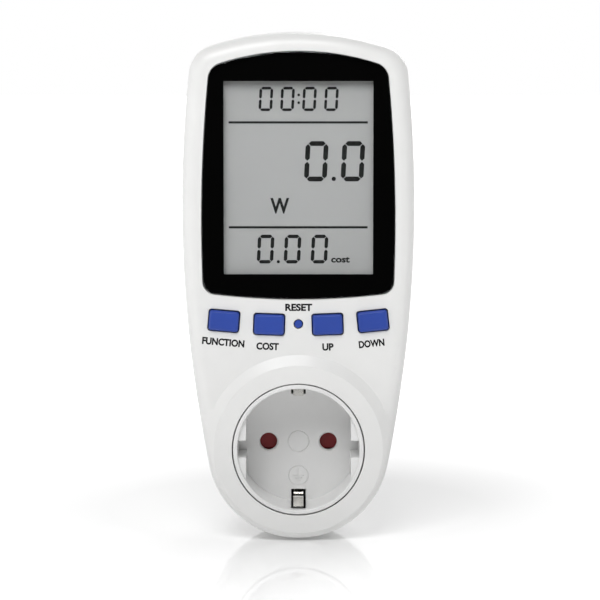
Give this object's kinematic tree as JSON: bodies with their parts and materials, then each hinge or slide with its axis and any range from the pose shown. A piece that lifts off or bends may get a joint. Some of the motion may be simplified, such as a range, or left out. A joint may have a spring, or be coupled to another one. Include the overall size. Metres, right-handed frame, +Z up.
{
  "type": "plug-in power meter",
  "caption": "Plug-in energy meter with a bowed display window over blue keys and an earthed round socket in front, and an earthed two-pin plug behind.",
  "frame": {"origin": "middle of the plug's face, between the two pins", "axes": "+Y out of the plug's face into the wall, +Z up the housing towards the display, +X right as the display is read"},
  "size_m": [0.0734, 0.078, 0.1589],
  "materials": {
    "housing_white": "satin white ABS",
    "socket_white": "semi-gloss white polycarbonate",
    "carrier_grey": "grey heat-proof moulding",
    "clear_acrylic": "clear polished acrylic",
    "mask_black": "black printed film",
    "lcd_cell": "grey reflective display cell",
    "lcd_reflector_silver": "silvered film",
    "holder_white": "white moulding",
    "zebra_rubber": "layered contact rubber",
    "button_blue": "satin blue ABS",
    "switch_black": "black moulding",
    "spring_steel": "bright spring steel",
    "screw_steel": "zinc plated",
    "board_green": "green solder mask",
    "crystal_can": "plated can",
    "shutter_red": "dark red moulding",
    "contact_brass": "bare brass",
    "earth_nickel": "nickel plated bronze",
    "pin_nickel": "nickel plated brass",
    "plate_silver": "blank satin label plate",
    "film_yellow": "moulded box",
    "can_sleeve": "shrink sleeve",
    "varistor_blue": "epoxy dip",
    "diode_black": "moulded",
    "resistor_tan": "lacquered",
    "fuse_glass": "white ceramic tube",
    "shunt_metal": "resistance alloy",
    "cell_steel": "plated steel cells",
    "lead_brown": "insulation",
    "lead_blue": "insulation",
    "sheet_film": "insulating film"
  },
  "bodies": {
    "housing": {"backup_cells": "cell_steel", "battery_tabs": "crystal_can", "board_header": "switch_black", "board_screws": "screw_steel", "carrier_screws": "screw_steel", "contact_carrier": "carrier_grey", "controller_chip": "switch_black", "crystal": "crystal_can", "current_shunt": "shunt_metal", "diodes": "diode_black", "display_lens": "clear_acrylic", "earth_link": "earth_nickel", "earth_yoke": "earth_nickel", "electrolytic_capacitors": "can_sleeve", "film_capacitor": "film_yellow", "front_shell": "housing_white", "fuse": "fuse_glass", "housing_screws": "screw_steel", "insulating_sheet": "sheet_film", "lcd_glass": "lcd_cell", "lcd_holder": "holder_white", "lcd_reflector": "lcd_reflector_silver", "line_contact": "contact_brass", "line_feed_lead": "lead_brown", "line_load_lead": "lead_brown", "main_board": "board_green", "metering_chip": "switch_black", "neutral_contact": "contact_brass", "neutral_feed_lead": "lead_blue", "neutral_load_lead": "lead_blue", "plug_body": "socket_white", "plug_earth_plates": "earth_nickel", "plug_pin_line": "pin_nickel", "plug_pin_neutral": "pin_nickel", "power_board": "board_green", "power_board_screws": "screw_steel", "rating_plate": "plate_silver", "rear_shell": "housing_white", "resistors": "resistor_tan", "shutter_spring": "spring_steel", "socket_well": "socket_white", "switch_bodies": "switch_black", "switch_domes": "spring_steel", "varistor": "varistor_blue", "window_mask": "mask_black", "zebra_strips": "zebra_rubber"},
    "function_key": {"function_button": "button_blue", "function_plunger": "switch_black"},
    "cost_key": {"cost_button": "button_blue", "cost_plunger": "switch_black"},
    "up_key": {"up_button": "button_blue", "up_plunger": "switch_black"},
    "down_key": {"down_button": "button_blue", "down_plunger": "switch_black"},
    "reset_key": {"reset_button": "button_blue", "reset_plunger": "switch_black"},
    "shutter_slider": {"shutter": "shutter_red"},
    "upper_clip": {"earth_clip_upper": "earth_nickel"},
    "lower_clip": {"earth_clip_lower": "earth_nickel"}
  },
  "joints": [
    {"name": "function_press", "type": "slide", "parent": "housing", "child": "function_key", "axis": [0, 1, 0], "range_m": [0, 0.0005], "stiffness_N_per_m": 300, "springref_m": -0.0015},
    {"name": "cost_press", "type": "slide", "parent": "housing", "child": "cost_key", "axis": [0, 1, 0], "range_m": [0, 0.0005], "stiffness_N_per_m": 300, "springref_m": -0.0015},
    {"name": "up_press", "type": "slide", "parent": "housing", "child": "up_key", "axis": [0, 1, 0], "range_m": [0, 0.0005], "stiffness_N_per_m": 300, "springref_m": -0.0015},
    {"name": "down_press", "type": "slide", "parent": "housing", "child": "down_key", "axis": [0, 1, 0], "range_m": [0, 0.0005], "stiffness_N_per_m": 300, "springref_m": -0.0015},
    {"name": "reset_press", "type": "slide", "parent": "housing", "child": "reset_key", "axis": [0, 1, 0], "range_m": [0, 0.0005], "stiffness_N_per_m": 300, "springref_m": -0.0015},
    {"name": "shutter_slide", "type": "slide", "parent": "housing", "child": "shutter_slider", "axis": [0, 0, 1], "range_m": [0, 0.0064], "stiffness_N_per_m": 120, "springref_m": -0.004, "deforming": ["shutter_spring"]},
    {"name": "upper_clip_flex", "type": "hinge", "parent": "housing", "child": "upper_clip", "pos_m": [0, -0.0376, 0.0186], "axis": [-1, 0, 0], "range_deg": [0, 7], "stiffness_Nm_per_rad": 0.12, "springref_deg": -5.16},
    {"name": "lower_clip_flex", "type": "hinge", "parent": "housing", "child": "lower_clip", "pos_m": [0, -0.0376, -0.0186], "axis": [1, 0, 0], "range_deg": [0, 7], "stiffness_Nm_per_rad": 0.12, "springref_deg": -5.16}
  ]
}
